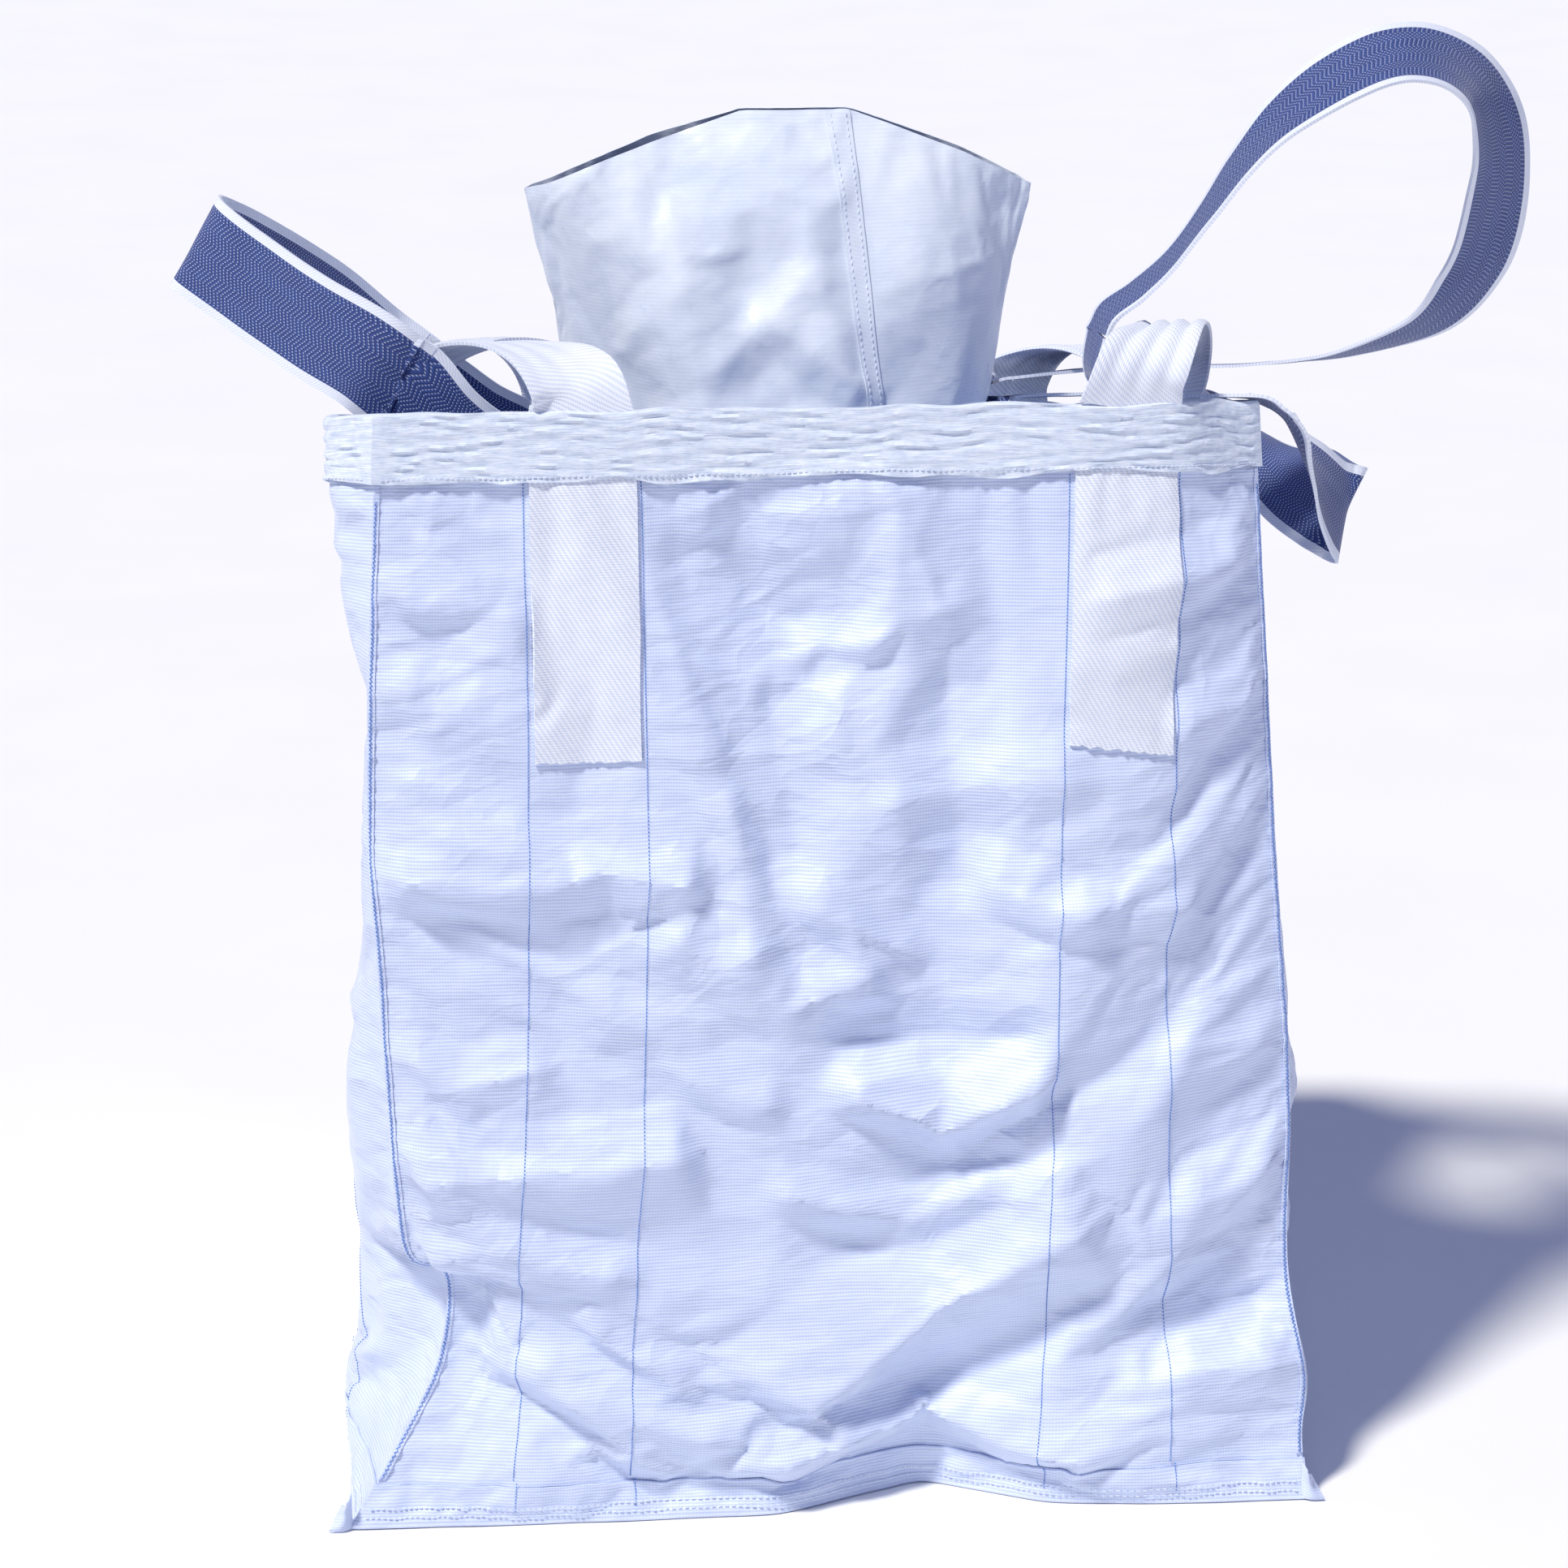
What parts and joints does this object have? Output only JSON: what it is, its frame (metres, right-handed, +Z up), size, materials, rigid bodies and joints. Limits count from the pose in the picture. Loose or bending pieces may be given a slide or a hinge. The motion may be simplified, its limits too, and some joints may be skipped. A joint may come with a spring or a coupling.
{
  "type": "bulk bag",
  "caption": "Empty square woven bulk bag with a sagging mouth, an upright filling spout, white corner loops and long blue lifting slings.",
  "frame": {"origin": "centre of the flat base, on the floor", "axes": "+Z up from the base to the open mouth, +Y from the front panel to the back panel, +X to the bag's right seen from the front"},
  "size_m": [1.279, 0.9066, 1.37],
  "materials": {
    "woven_body": "satin",
    "hem_tape": "matte",
    "white_webbing": "matte",
    "blue_webbing": "matte",
    "seam_thread": "matte",
    "coated_film": "gloss"
  },
  "bodies": {
    "bag": {"front_panel": "woven_body", "right_side_panel": "woven_body", "back_panel": "woven_body", "left_side_panel": "woven_body", "base_panel": "woven_body", "top_panel": "woven_body", "front_hem": "hem_tape", "right_hem": "hem_tape", "back_hem": "hem_tape", "left_hem": "hem_tape", "front_base_seam": "woven_body", "right_base_seam": "woven_body", "back_base_seam": "woven_body", "left_base_seam": "woven_body", "front_left_corner_seam": "seam_thread", "front_right_corner_seam": "seam_thread", "back_right_corner_seam": "seam_thread", "back_left_corner_seam": "seam_thread", "web_front_left": "white_webbing", "web_front_right": "white_webbing", "web_right_front": "white_webbing", "web_right_back": "white_webbing", "web_back_right": "white_webbing", "web_back_left": "white_webbing", "web_left_back": "white_webbing", "web_left_front": "white_webbing", "front_left_loop": "white_webbing", "front_right_loop": "white_webbing", "back_left_loop": "white_webbing", "back_right_loop": "white_webbing", "left_sling_inner": "blue_webbing", "right_sling_front_turn": "blue_webbing", "right_sling_back_turn": "blue_webbing"},
    "spout": {"filling_spout": "coated_film", "spout_seam_strip": "coated_film"},
    "left_sling": {"left_sling": "blue_webbing"},
    "right_sling": {"right_sling": "blue_webbing"},
    "right_tail": {"right_sling_tail": "blue_webbing"}
  },
  "joints": [
    {"name": "spout_tilt", "type": "hinge", "parent": "bag", "child": "spout", "pos_m": [-0.022, 0.0235, 0.845], "axis": [-1, 0, 0], "range_deg": [0, 30]},
    {"name": "left_sling_swing", "type": "hinge", "parent": "bag", "child": "left_sling", "pos_m": [-0.3508, -0.1085, 1.0631], "axis": [-0.0066, 0.9796, -0.2007], "range_deg": [0, 35]},
    {"name": "right_sling_swing", "type": "hinge", "parent": "bag", "child": "right_sling", "pos_m": [0.216, -0.0965, 1.043], "axis": [-0.1899, 0.9412, -0.2793], "range_deg": [-25, 6]},
    {"name": "right_tail_swing", "type": "hinge", "parent": "bag", "child": "right_tail", "pos_m": [0.406, -0.101, 0.993], "axis": [0.0362, -0.9792, 0.1995], "range_deg": [0, 30]}
  ]
}
